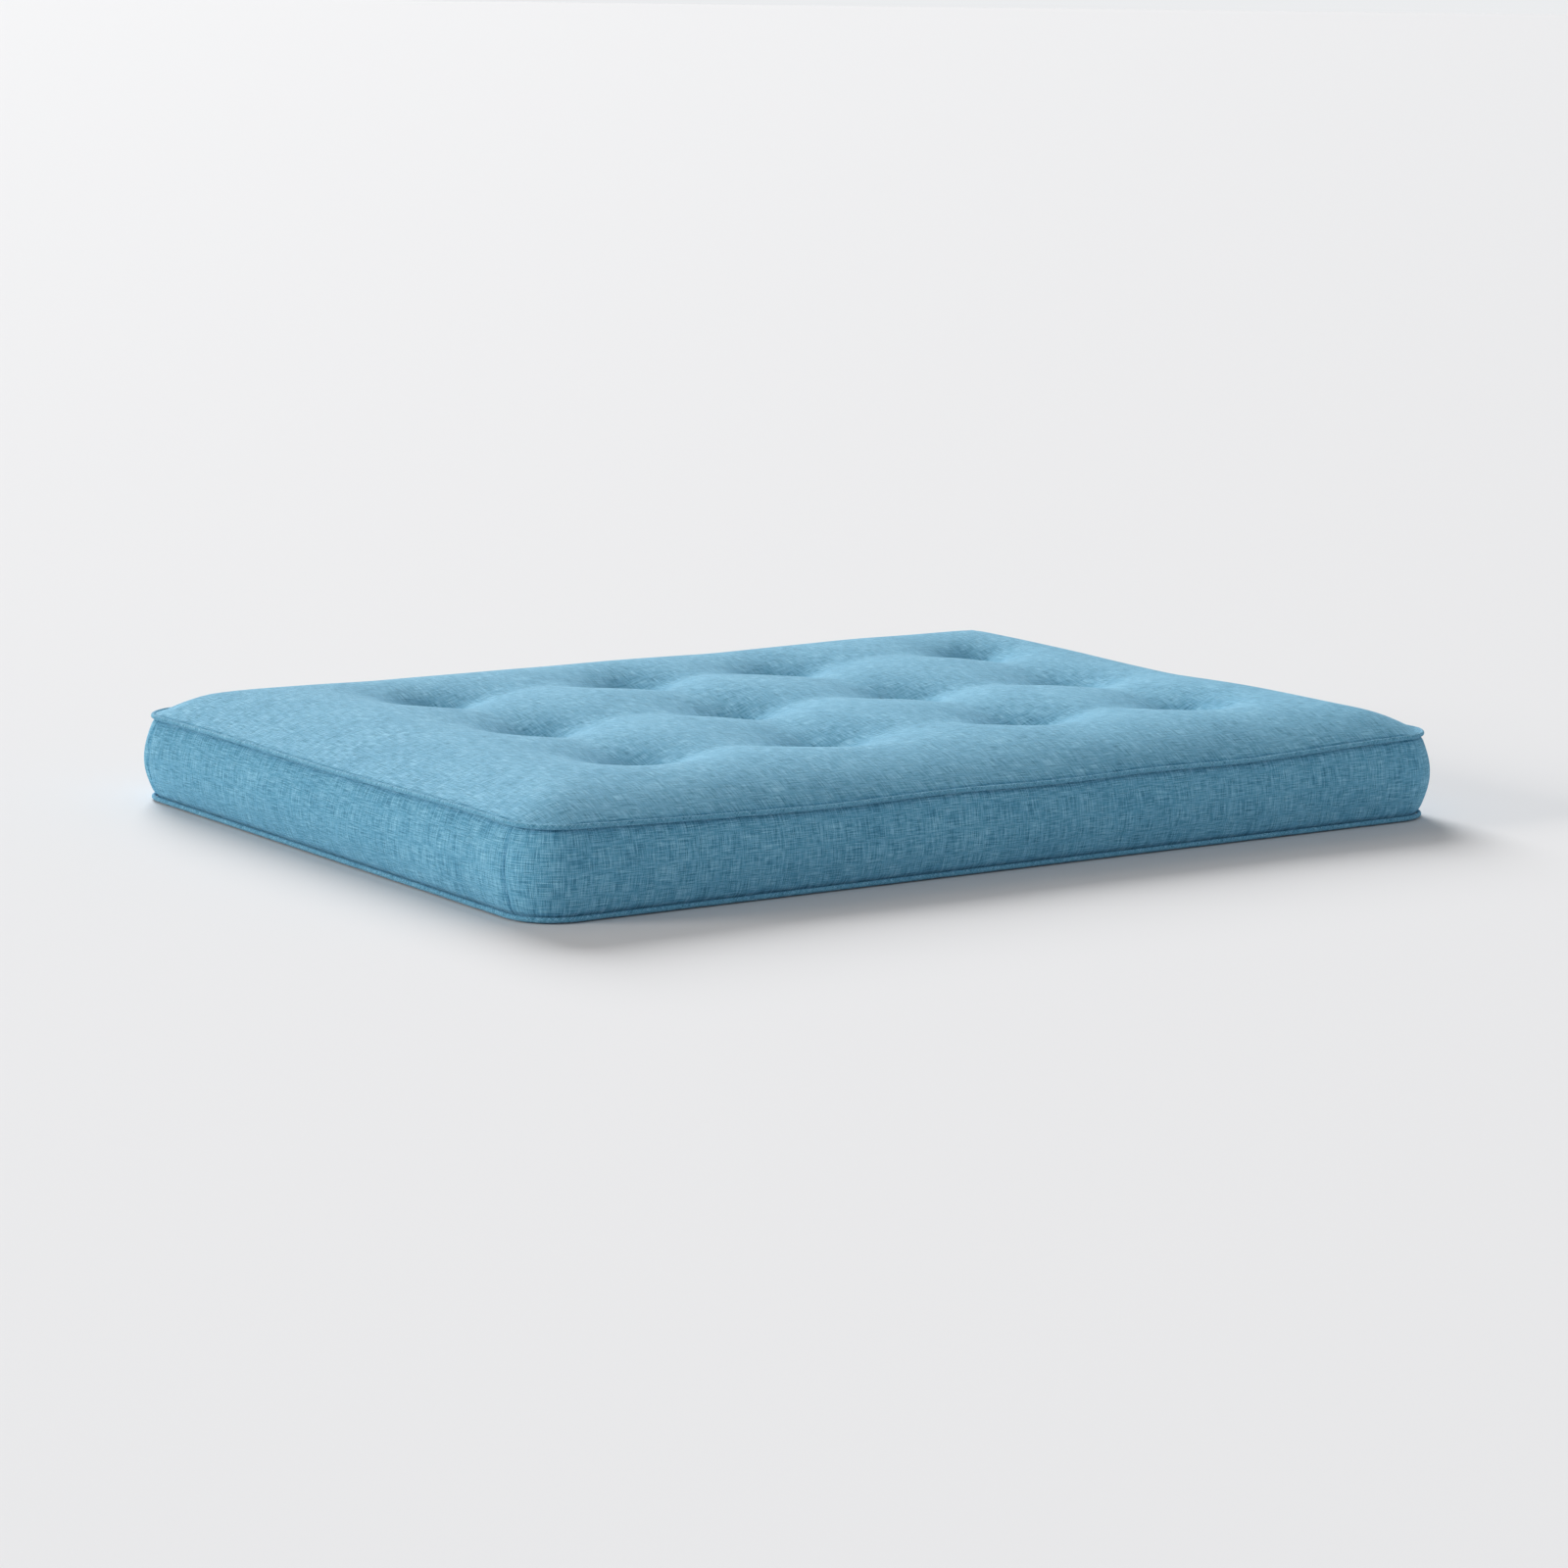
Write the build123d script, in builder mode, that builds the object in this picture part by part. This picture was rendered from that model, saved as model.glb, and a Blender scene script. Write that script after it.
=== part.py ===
from build123d import *

import os
from math import cos, pi, radians, sin, tan

# A tufted full-size futon mattress, lying flat as a bed, in millimetres.
# +X runs along its length, +Y to its far side and +Z up, from the middle of its underside.
# It folds lengthwise along y = 0: the seat half lies at -Y, and the back half swings up from +Y.
# What crosses the fold above the hinge is cut in three, and its middle part fills a V between the halves.

# Driving dimensions
LENGTH = 1905.0  # over the bulge of the boxing
WIDTH = 1372.0
HEIGHT = 192.0  # loft at the crown
BULGE = 16.5  # how far the boxing stands out past the welts
CORNER = 78.0  # plan radius of the welts at the corners

CLOTH = 1.5  # cover cloth
FIT = 0.3  # clearance between neighbours
WELT_RADIUS = 4.0
WELT_CORD_RADIUS = 2.8
TOP_WELT_Z = 149.0
BOTTOM_WELT_Z = 5.8
BOXING_FLARE = 1.0  # from the welts' middle line out to the boxing's edges

FOAM_BOTTOM, FOAM_TOP = 35.0, 148.0
CROWN_WIDTH = 150.0  # from the top seam to the flat of the crown
CROWN_POWER = 3.0  # steepness of the crown at the seam
CORNER_GROWTH = 0.8  # how much rounder the corners get up the crown

TUFT_COLUMNS, TUFT_PITCH_X = 4, 385.0
TUFT_PITCH_Y = 345.0
TUFT_SHIFT_X = 50.0  # the tufts stand a little to the right of centre
TUFT_DRIFT = {  # of each tuft along X from its place in the grid, because they are tied by hand
    "seat": (-15.0, -35.0, 10.0, -15.0),
    "fold": (0.0, 30.0, 5.0, -5.0),
    "back": (5.0, 30.0, -30.0, 40.0),
}
TUFT_TOP, TUFT_BOTTOM = 130.0, 22.0  # cloth heights at a tuft
TUFT_FLAT = 9.0  # radius of the flat under a stitch
DIMPLE_RADIUS, FOAM_DIMPLE_RADIUS, UNDER_DIMPLE_RADIUS = 135.0, 75.0, 80.0
TOP_RIM, FOAM_RIM, UNDER_RIM = 4.0, 3.0, 2.0  # how far past its surface a dimple's rim would meet the air
NEAR_TIP, NEAR_RIM = (0.14, 0.56), (0.45, 0.78)  # a dimple's curve, in shares of its flare and depth
PACKED_BATTING = 7.0  # thickness of the upper batting under a stitch
TWINE_RADIUS = 1.5
STITCH = 8.0  # between the two legs of a tie
LEG_ROOM, STITCH_ROOM = 0.7, 1.0  # clearance round a tie's legs, and round its stitch when folded
KNOT_RADIUS, KNOT_LENGTH = 3.2, 12.5

HINGE_Z = 50.0
FOLD_ANGLE = 75.0
HALF_GAP = 0.5  # from each half to the fold plane

LONG_STRIP_TURN = 82.0  # how far round each corner the long boxing strips go, in degrees

TAG_X, TAG_WIDTH, TAG_HEIGHT, TAG_CORNER, TAG_CLOTH = -420.0, 90.0, 30.0, 2.0, 0.6
TAG_Z, TAG_LEAN = 26.0, 18.6  # height of its middle, and its tilt in degrees
TAG_INSET = 9.3  # of its middle, from the furthest bulge of the boxing

# Derived sizes
WELT_X = LENGTH / 2 - BULGE
WELT_Y = WIDTH / 2 - BULGE
BOXING_LOW = BOTTOM_WELT_Z + WELT_RADIUS + FIT
BOXING_HIGH = TOP_WELT_Z - WELT_RADIUS - FIT
SEAM_INSET = WELT_RADIUS + FIT
LINING = CLOTH + FIT  # how far the filling stays behind the cloth's face
TIE_HOLE_RADIUS = TWINE_RADIUS + LEG_ROOM
TUFT_ROWS = {"seat": -TUFT_PITCH_Y, "fold": 0.0, "back": TUFT_PITCH_Y}
TUFTS = {
    body: [
        (TUFT_SHIFT_X + TUFT_PITCH_X * (column - (TUFT_COLUMNS - 1) / 2) + drift, y)
        for column, drift in enumerate(TUFT_DRIFT[body])
    ]
    for body, y in TUFT_ROWS.items()
}
ALL_TUFTS = [place for row in TUFTS.values() for place in row]
HALF_TURN = radians(FOLD_ANGLE / 2)
LEAN = {"seat": -sin(HALF_TURN), "back": sin(HALF_TURN)}  # of each half's notch face from upright
ABOVE, BELOW, BEYOND = HEIGHT + 60, -30.0, 1000.0  # past the mattress on every side


# Shared shapes


def outline(offset, growth=0.0):
    """The rounded plan of the mattress, offset outwards from the middle line of the welts."""
    return RectangleRounded(2 * (WELT_X + offset), 2 * (WELT_Y + offset), CORNER + offset + growth)


def slab(offset, bottom, top):
    """A flat layer with the plan of the mattress."""
    with BuildPart() as layer:
        with BuildSketch(Plane.XY.offset(bottom)):
            outline(offset)
        extrude(amount=top - bottom)
    return layer.part


def bulging_block(inset, steps=6):
    """The block inside the boxing, whose sides bulge between the two welts."""
    with BuildPart() as block:
        for step in range(steps + 1):
            share = step / steps
            bulge = BOXING_FLARE + (BULGE - BOXING_FLARE) * sin(pi * share)
            with BuildSketch(Plane.XY.offset(BOXING_LOW + share * (BOXING_HIGH - BOXING_LOW))):
                outline(bulge - inset)
        loft()
    return block.part


def crown_block(inset, steps=5):
    """The crowned block above the top seam, which meets the seam just inside the welt."""
    with BuildPart() as block:
        for step in range(steps + 1):
            inwards = CROWN_WIDTH * (step / steps) ** 1.5
            rise = 1 - (1 - inwards / CROWN_WIDTH) ** CROWN_POWER
            height = TOP_WELT_Z + rise * (HEIGHT - inset - TOP_WELT_Z)
            with BuildSketch(Plane.XY.offset(height)):
                outline(-SEAM_INSET - inset - inwards, inwards * (1 + CORNER_GROWTH))
        loft()
    return block.part


def turned_pit(flat_z, rim_radius, rim_z, closed_z):
    """A round pit that flares from a small flat to its rim, and is closed at a height past the rim."""
    flare, depth = rim_radius - TUFT_FLAT, rim_z - flat_z
    with BuildPart() as pit:
        with BuildSketch(Plane.XZ):
            with BuildLine():
                Polyline(
                    (rim_radius, rim_z),
                    (rim_radius, closed_z),
                    (0, closed_z),
                    (0, flat_z),
                    (TUFT_FLAT, flat_z),
                )
                Bezier(
                    (TUFT_FLAT, flat_z),
                    (TUFT_FLAT + NEAR_TIP[0] * flare, flat_z + NEAR_TIP[1] * depth),
                    (TUFT_FLAT + NEAR_RIM[0] * flare, flat_z + NEAR_RIM[1] * depth),
                    (rim_radius, rim_z),
                )
            make_face()
        revolve(axis=Axis.Z)
    return pit.part


def at_every_tuft(tool):
    """Copies of a tool at all the tufts."""
    with BuildPart() as copies:
        with Locations([(x, y, 0) for x, y in ALL_TUFTS]):
            add(tool)
    return copies.part


def top_pits(drop):
    """What the tufts pull out of the top, down to the cloth's face or a layer under it."""
    return at_every_tuft(turned_pit(TUFT_TOP - drop, DIMPLE_RADIUS, HEIGHT + TOP_RIM - drop, ABOVE))


def foam_pits(closed_z):
    """What the tufts press out of the foam's top."""
    flat_z = TUFT_TOP - LINING - PACKED_BATTING
    return at_every_tuft(turned_pit(flat_z, FOAM_DIMPLE_RADIUS, FOAM_TOP + FOAM_RIM, closed_z))


def under_pits(rise):
    """What the tufts pull out of the underside."""
    return at_every_tuft(turned_pit(TUFT_BOTTOM + rise, UNDER_DIMPLE_RADIUS, rise - UNDER_RIM, BELOW))


def tie_holes():
    """The two holes that each tie goes through, at every tuft."""
    legs = [(x + side * STITCH / 2, y) for x, y in ALL_TUFTS for side in (-1, 1)]
    with BuildPart() as holes:
        with BuildSketch(Plane.XY.offset(BELOW)):
            with Locations(legs):
                Circle(TIE_HOLE_RADIUS)
        extrude(amount=ABOVE - BELOW)
    return holes.part


def fold_tie_pocket(half):
    """Room in a half's notch face for the fold's ties, which lie in it when the mattress is folded."""
    face = Plane((0, 0, HINGE_Z), x_dir=(1, 0, 0), z_dir=(0, LEAN[half], cos(HALF_TURN)))
    stitch_height = TUFT_TOP + TWINE_RADIUS - HINGE_Z
    with BuildPart() as pocket:
        with BuildSketch(face):
            with Locations([(x + side * STITCH / 2, y) for x, y in TUFTS["fold"] for side in (-1, 1)]):
                Circle(TIE_HOLE_RADIUS)
        extrude(amount=stitch_height)
        with Locations(face.offset(stitch_height)):
            with Locations([(x, y, 0) for x, y in TUFTS["fold"]]):
                Sphere(STITCH / 2 + 2 * TWINE_RADIUS + STITCH_ROOM)
    return pocket.part


def zone(body):
    """The space of one body: below the hinge the halves meet, and above it the V parts them."""
    apex = HINGE_Z + (HALF_GAP + FIT) / tan(HALF_TURN)
    v_half_width = (ABOVE - apex) * tan(HALF_TURN)
    half_corner = -HALF_GAP - (ABOVE - HINGE_Z) * tan(HALF_TURN)
    with BuildPart() as space:
        with BuildSketch(Plane.YZ.offset(-BEYOND)):
            with BuildLine():
                if body == "fold":
                    Polyline((0, apex), (-v_half_width, ABOVE), (v_half_width, ABOVE), close=True)
                else:
                    Polyline(
                        (-BEYOND, BELOW),
                        (-HALF_GAP, BELOW),
                        (-HALF_GAP, HINGE_Z),
                        (half_corner, ABOVE),
                        (-BEYOND, ABOVE),
                        close=True,
                    )
            make_face()
        extrude(amount=2 * BEYOND)
        if body == "back":
            mirror(about=Plane.XZ, mode=Mode.REPLACE)
    return space.part


# Writing the nodes


def write(name, piece):
    """Labels a finished piece and writes it as a node of its own."""
    piece.label = name
    export_step(piece, f"parts/{name}.step")
    print(name, len(piece.solids()), "solids,", round(piece.volume), "mm3")


def write_in_zones(stem, layer, bodies=("seat", "fold", "back"), tied=False):
    """Cuts a layer along the fold into one piece for each body, and writes them."""
    for body in bodies:
        with BuildPart() as piece:
            add(layer)
            add(zone(body), mode=Mode.INTERSECT)
            if tied:
                add(tie_holes(), mode=Mode.SUBTRACT)
            if tied and body != "fold":
                add(fold_tie_pocket(body), mode=Mode.SUBTRACT)
        write(f"{stem}_{body}", piece.part)


# The layers, from the bottom up


def bottom_panel():
    """The bottom cloth: flat on what it lies on, with a shallow cup at each tuft."""
    with BuildPart() as lining:
        add(slab(-SEAM_INSET, CLOTH, FOAM_BOTTOM))
        add(under_pits(CLOTH), mode=Mode.SUBTRACT)
    with BuildPart() as panel:
        add(slab(-SEAM_INSET, 0, FOAM_BOTTOM))
        add(under_pits(0), mode=Mode.SUBTRACT)
        add(lining.part, mode=Mode.SUBTRACT)
    return panel.part


def lower_batting():
    """The cotton layer under the foam."""
    with BuildPart() as batting:
        add(bulging_block(LINING))
        add(slab(BEYOND - WELT_X, FOAM_BOTTOM, ABOVE), mode=Mode.SUBTRACT)
        add(slab(-SEAM_INSET, LINING, BOXING_LOW))
        add(under_pits(LINING), mode=Mode.SUBTRACT)
    return batting.part


def foam_core():
    """The foam slab, pressed in at the tufts."""
    with BuildPart() as foam:
        add(bulging_block(LINING))
        add(slab(BEYOND - WELT_X, BELOW, FOAM_BOTTOM), mode=Mode.SUBTRACT)
        add(slab(-SEAM_INSET, BOXING_HIGH, FOAM_TOP))
        add(foam_pits(closed_z=ABOVE), mode=Mode.SUBTRACT)
    return foam.part


def upper_batting():
    """The cotton layer between the foam and the top cloth."""
    with BuildPart() as batting:
        add(slab(-SEAM_INSET - LINING, FOAM_TOP, TOP_WELT_Z))
        add(crown_block(LINING))
        add(foam_pits(closed_z=FOAM_TOP))
        add(top_pits(LINING), mode=Mode.SUBTRACT)
    return batting.part


def top_panel():
    """The tufted top cloth, one thin sheet over the batting."""
    with BuildPart() as lining:
        add(crown_block(CLOTH))
        add(top_pits(CLOTH), mode=Mode.SUBTRACT)
    with BuildPart() as panel:
        add(crown_block(0))
        add(top_pits(0), mode=Mode.SUBTRACT)
        add(lining.part, mode=Mode.SUBTRACT)
    return panel.part


# The cover's edges


def boxing():
    """The whole side band, before its corner seams part it."""
    with BuildPart() as band:
        add(bulging_block(0))
        add(bulging_block(CLOTH), mode=Mode.SUBTRACT)
    return band.part


def end_sector():
    """The space of the two end strips, between the corner seams."""
    centre_x, centre_y = WELT_X - CORNER, WELT_Y - CORNER
    reach = 2 * CORNER
    slant = reach * tan(radians(90 - LONG_STRIP_TURN))
    with BuildPart() as space:
        for side in (-1, 1):
            with BuildSketch(Plane.XY.offset(BELOW)):
                with BuildLine():
                    Polyline(
                        (side * centre_x, -centre_y),
                        (side * (centre_x + reach), -centre_y - slant),
                        (side * (centre_x + reach), centre_y + slant),
                        (side * centre_x, centre_y),
                        close=True,
                    )
                make_face()
            extrude(amount=ABOVE - BELOW)
    return space.part


def write_boxing():
    """The two long strips, and the two end strips, which cross the fold."""
    band, ends = boxing(), end_sector()
    for name, side in (("boxing_front", -1), ("boxing_back", 1)):
        with BuildPart() as strip:
            add(band)
            add(ends, mode=Mode.SUBTRACT)
            with Locations((0, side * BEYOND / 2, 0)):
                Box(2 * BEYOND, BEYOND - 2 * CORNER, 2 * BEYOND, mode=Mode.INTERSECT)
        write(name, strip.part)
    for name, side in (("boxing_left", -1), ("boxing_right", 1)):
        with BuildPart() as strip:
            add(band)
            add(ends, mode=Mode.INTERSECT)
            with Locations((side * BEYOND / 2, 0, 0)):
                Box(BEYOND, 2 * BEYOND, 2 * BEYOND, mode=Mode.INTERSECT)
        write_in_zones(name, strip.part)


def write_welt(stem, height, bodies):
    """A welt right round one edge: a sleeve of cover cloth over a filler cord."""
    with BuildSketch(Plane.XY.offset(height)) as plan:
        outline(0)
    route = plan.sketch.faces()[0].outer_wire()
    section_plane = Plane(route @ 0, z_dir=route % 0)
    with BuildPart() as cord:
        with BuildSketch(section_plane):
            Circle(WELT_CORD_RADIUS)
        sweep(path=route)
    with BuildPart() as sleeve:
        with BuildSketch(section_plane):
            Circle(WELT_RADIUS)
            Circle(WELT_CORD_RADIUS + FIT / 2, mode=Mode.SUBTRACT)
        sweep(path=route)
    write_in_zones(stem, sleeve.part, bodies)
    write_in_zones(f"{stem}_cord", cord.part, bodies)


def write_ties():
    """The tufting ties: one loop of twine each, over the top cloth and knotted under the bottom one."""
    left, right = -STITCH / 2, STITCH / 2
    stitch_z = TUFT_TOP + TWINE_RADIUS
    knot_z = TUFT_BOTTOM - KNOT_RADIUS - FIT
    with BuildPart() as tie:
        with BuildLine(Plane.XZ) as loop:
            FilletPolyline(
                (left, knot_z),
                (left, stitch_z),
                (right, stitch_z),
                (right, knot_z),
                radius=2 * TWINE_RADIUS,
            )
        with BuildSketch(Plane((left, 0, knot_z))):
            Circle(TWINE_RADIUS)
        sweep(path=loop.line)
        with BuildSketch(Plane.YZ.offset(-KNOT_LENGTH / 2)):
            with Locations((0, knot_z)):
                Circle(KNOT_RADIUS)
        extrude(amount=KNOT_LENGTH)
    for body, row in TUFTS.items():
        with BuildPart() as ties:
            with Locations([(x, y, 0) for x, y in row]):
                add(tie.part)
        write(f"tufting_ties_{body}", ties.part)


def write_law_tag():
    """A blank sewn-in cloth label, low on the back boxing."""
    middle = (TAG_X, WELT_Y + BULGE - TAG_INSET, TAG_Z)
    face = Plane(middle, x_dir=(1, 0, 0), z_dir=(0, 1, -tan(radians(TAG_LEAN))))
    with BuildPart() as tag:
        with BuildSketch(face):
            RectangleRounded(TAG_WIDTH, TAG_HEIGHT, TAG_CORNER)
        extrude(amount=TAG_CLOTH)
    write("law_tag", tag.part)


def main():
    os.makedirs("parts", exist_ok=True)
    halves = ("seat", "back")
    write_in_zones("bottom_panel", bottom_panel(), halves, tied=True)
    write_in_zones("lower_batting", lower_batting(), halves, tied=True)
    write_in_zones("foam_core", foam_core(), tied=True)
    write_in_zones("upper_batting", upper_batting(), tied=True)
    write_in_zones("top_panel", top_panel(), tied=True)
    write_boxing()
    write_welt("bottom_welt", BOTTOM_WELT_Z, halves)
    write_welt("top_welt", TOP_WELT_Z, ("seat", "fold", "back"))
    write_ties()
    write_law_tag()


main()
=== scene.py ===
import math

import bpy
import numpy as np
from mathutils import Matrix, Vector


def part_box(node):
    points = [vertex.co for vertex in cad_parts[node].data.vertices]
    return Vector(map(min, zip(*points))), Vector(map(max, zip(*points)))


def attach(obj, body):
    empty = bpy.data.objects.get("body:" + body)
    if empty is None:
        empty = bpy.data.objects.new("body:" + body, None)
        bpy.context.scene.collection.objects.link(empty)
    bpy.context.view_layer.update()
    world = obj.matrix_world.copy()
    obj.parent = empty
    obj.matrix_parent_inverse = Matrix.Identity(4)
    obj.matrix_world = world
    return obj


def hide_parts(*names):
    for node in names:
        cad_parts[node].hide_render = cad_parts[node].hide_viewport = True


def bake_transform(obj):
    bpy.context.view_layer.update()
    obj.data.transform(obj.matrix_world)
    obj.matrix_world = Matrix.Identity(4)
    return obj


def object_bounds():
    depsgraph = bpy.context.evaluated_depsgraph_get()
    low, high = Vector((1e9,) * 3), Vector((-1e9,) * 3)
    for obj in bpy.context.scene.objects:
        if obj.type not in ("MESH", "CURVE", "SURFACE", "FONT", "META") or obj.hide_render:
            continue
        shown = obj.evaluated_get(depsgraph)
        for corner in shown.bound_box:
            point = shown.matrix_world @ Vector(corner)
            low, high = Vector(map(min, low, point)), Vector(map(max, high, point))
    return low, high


# A tufted futon mattress in heathered aqua cloth, lying flat.
# Everything is in metres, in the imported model's frame.

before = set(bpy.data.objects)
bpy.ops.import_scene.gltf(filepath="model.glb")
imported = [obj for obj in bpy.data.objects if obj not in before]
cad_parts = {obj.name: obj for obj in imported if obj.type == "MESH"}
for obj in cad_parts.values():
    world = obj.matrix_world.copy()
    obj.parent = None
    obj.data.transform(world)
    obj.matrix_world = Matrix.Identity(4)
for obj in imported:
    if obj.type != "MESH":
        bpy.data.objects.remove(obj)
CAD_LOW, CAD_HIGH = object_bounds()

# ---------------------------------------------------------------- sizes read from the frame

WELT_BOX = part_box("top_welt_seat"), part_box("top_welt_back")
UNDER_WELT_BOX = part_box("bottom_welt_seat")
TIE_BOXES = {half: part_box(f"tufting_ties_{half}") for half in ("seat", "fold", "back")}

WELT_RADIUS = (WELT_BOX[0][1].z - WELT_BOX[0][0].z) / 2
SEAM_X = WELT_BOX[0][1].x - WELT_RADIUS
SEAM_Y = WELT_BOX[1][1].y - WELT_RADIUS
TOP_SEAM_Z = WELT_BOX[0][0].z + WELT_RADIUS
UNDER_SEAM_Z = UNDER_WELT_BOX[0].z + WELT_RADIUS
BULGE = CAD_HIGH.x - SEAM_X
CROWN_Z = CAD_HIGH.z
KNOT_Z = TIE_BOXES["seat"][0].z + 0.0032
STITCH = 0.008  # between the two legs of a tie
TWINE_RADIUS = 0.0015
TUFT_TOP_Z = TIE_BOXES["seat"][1].z - 2 * TWINE_RADIUS
TIES_APART = 0.1  # more than the width of one tie, less than the gap between two


def tuft_places(half):
    """Where one row's tufts stand: the middle of each tie along X, and the row's Y."""
    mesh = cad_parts[f"tufting_ties_{half}"].data
    x = np.empty(len(mesh.vertices) * 3, dtype=np.float32)
    mesh.vertices.foreach_get("co", x)
    x = np.sort(x[::3])
    ties = np.split(x, np.flatnonzero(np.diff(x) > TIES_APART) + 1)
    low, high = TIE_BOXES[half]
    return [((tie[0] + tie[-1]) / 2, (low.y + high.y) / 2) for tie in ties]


ROWS = {half: np.array(tuft_places(half)) for half in TIE_BOXES}
TUFTS = np.concatenate(list(ROWS.values()))
NEIGHBOURS = [
    *[pair for row in ROWS.values() for pair in zip(row, row[1:])],
    *zip(ROWS["seat"], ROWS["fold"]),
    *zip(ROWS["fold"], ROWS["back"]),
]

FOAM_TOP_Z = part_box("foam_core_seat")[1].z
FOAM_UNDER_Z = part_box("foam_core_seat")[0].z

CORNER = 0.078  # plan radius of the seams at the corners
CLOTH = 0.0015
LONG_STRIP_TURN = 82  # how far round each corner the long boxing strips go, in degrees
BOWL_RADIUS, BOWL_POWER = 0.2, 2.6  # of the dimples in the top
CHANNEL_DEPTH, CHANNEL_WIDTH = 0.009, 0.06  # of the valleys between the dimples
PIT_SLACK = 0.014  # how much further the batting is pressed down at a tuft than the cloth is
WELT_OUT = 0.0025  # how far the welts stand out from the seams
END_BULGE = 0.3  # how much further the ends bulge than the front and the back
FRONT_SAG, CORNER_LIFT, SEAM_WANDER = 0.008, 0.003, 0.0015  # of the top seam
ROLL_WIDTH, ROLL_POWER, ROLL_CORNER = 0.18, 2.1, 0.1  # of the roll from the seam up to the crown
CROWN_EXTRA, CROWN_WANDER = 0.0065, 0.0025  # of the untufted crown over the model's height
END_DIP = 0.012  # where the crown is lower, at the middle of the right end
CREASE_HEIGHT, CREASE_REACH = 0.0011, 0.03  # of the gathers round a tuft
UNDER_EDGE = 0.05  # how far in from the seam the underside starts to lift
CUP_DEPTH, CUP_RADIUS = 0.0215, 0.028  # of the underside at a tuft
HELD_RADIUS = 0.009  # of the cloth that a stitch holds while the rest swells
RIPPLE, PUCKER, PUCKER_PITCH = 0.0018, 0.0005, 0.023  # of the boxing
TUCK, TUCK_WIDTH = 0.0055, 0.0065  # of the boxing, in under a welt
SEAM_TUCK, SEAM_TUCK_WIDTH = 0.006, 0.0035  # of the boxing, in at an upright seam
STRIP_STEP = 0.006  # between the points along a boxing strip
LAYER_GAP, SIDE_GAP, SEPARATION = 0.004, 0.0035, 0.001  # between the cover and the layers inside it
CORD_RADIUS, CORD_PITCH = 0.0026, 0.03  # of the filler cord in a welt
KNOT_RADIUS, KNOT_HALF_LENGTH, KNOT_TURNS = 0.0017, 0.0052, 5.5


# ---------------------------------------------------------------- plan and height of the mattress


def smoothstep(t):
    t = np.clip(t, 0, 1)
    return t * t * (3 - 2 * t)


def soft_noise(x, y, scale, seed):
    """Smooth noise of about -1 to 1, from a few waves in seeded directions."""
    rng = np.random.default_rng(seed)
    total = np.zeros(np.broadcast(x, y).shape)
    for _ in range(7):
        angle, phase = rng.uniform(0, math.tau, 2)
        wave = rng.uniform(0.7, 1.5) * math.tau / scale
        total = total + np.sin(wave * (x * math.cos(angle) + y * math.sin(angle)) + phase)
    return total / 3.5


def edge_distance(x, y, corner):
    """How far inside the plan's rounded outline a point is, for corners of that radius."""
    dx = np.abs(x) - (SEAM_X - corner)
    dy = np.abs(y) - (SEAM_Y - corner)
    outside = np.hypot(np.maximum(dx, 0), np.maximum(dy, 0))
    inside = np.minimum(np.maximum(dx, dy), 0)
    return corner - outside - inside


def seam_lift(x, y):
    """How much higher or lower than its mean height the top seam runs."""
    front = smoothstep((-y - 0.4) / 0.25)
    sag = smoothstep((0.9 - np.abs(x)) / 0.45)
    corners = smoothstep((np.abs(x) - 0.6) / 0.33)
    wander = SEAM_WANDER * soft_noise(x, y, 0.5, 3)
    return -FRONT_SAG * front * sag + CORNER_LIFT * corners + wander


def pull(r):
    """How strongly a tuft pulls at a distance r: steeply near its stitch, with a wide soft skirt."""
    return np.clip(1 - r / BOWL_RADIUS, 0, 1) ** BOWL_POWER


def crown_height(x, y):
    """The padded top before it is tufted."""
    share = np.clip(edge_distance(x, y, ROLL_CORNER) / ROLL_WIDTH, 0, 1)
    rise = 1 - (1 - share) ** ROLL_POWER
    base = TOP_SEAM_Z + WELT_RADIUS * 0.6 + seam_lift(x, y)
    crown = CROWN_Z + CROWN_EXTRA + CROWN_WANDER * soft_noise(x, y, 0.9, 11)
    crown = crown - END_DIP * np.exp(-((y / 0.2) ** 2)) * smoothstep((x - 0.35) / 0.45)
    return base + rise * (crown - base)


def channels(x, y):
    """Shallow valleys along the lines of tension between neighbouring tufts."""
    depth = np.zeros(np.broadcast(x, y).shape)
    for a, b in NEIGHBOURS:
        along = b - a
        share = np.clip(((x - a[0]) * along[0] + (y - a[1]) * along[1]) / (along @ along), 0, 1)
        aside = np.hypot(x - a[0] - share * along[0], y - a[1] - share * along[1])
        depth = np.maximum(depth, CHANNEL_DEPTH * np.exp(-((aside / CHANNEL_WIDTH) ** 1.5)))
    return depth


def tuft_depths():
    """How hard each tuft pulls, so that the cloth meets every stitch."""
    apart = np.hypot(TUFTS[:, None, 0] - TUFTS[None, :, 0], TUFTS[:, None, 1] - TUFTS[None, :, 1])
    drop = crown_height(*TUFTS.T) - channels(*TUFTS.T) - TUFT_TOP_Z
    return np.linalg.solve(pull(apart), drop)


DEPTHS = tuft_depths()


def gathers(dx, dy, seed):
    """Small creases that run out from a tuft, where its stitch gathers the cloth."""
    rng = np.random.default_rng(seed)
    r, angle = np.hypot(dx, dy), np.arctan2(dy, dx)
    wave = sum(
        rng.uniform(0.5, 1) * np.cos(count * angle + rng.uniform(0, math.tau) + 9 * r)
        for count in (4, 5, 7)
    )
    return CREASE_HEIGHT * wave * (r / CREASE_REACH) * np.exp(1 - r / CREASE_REACH)


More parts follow.
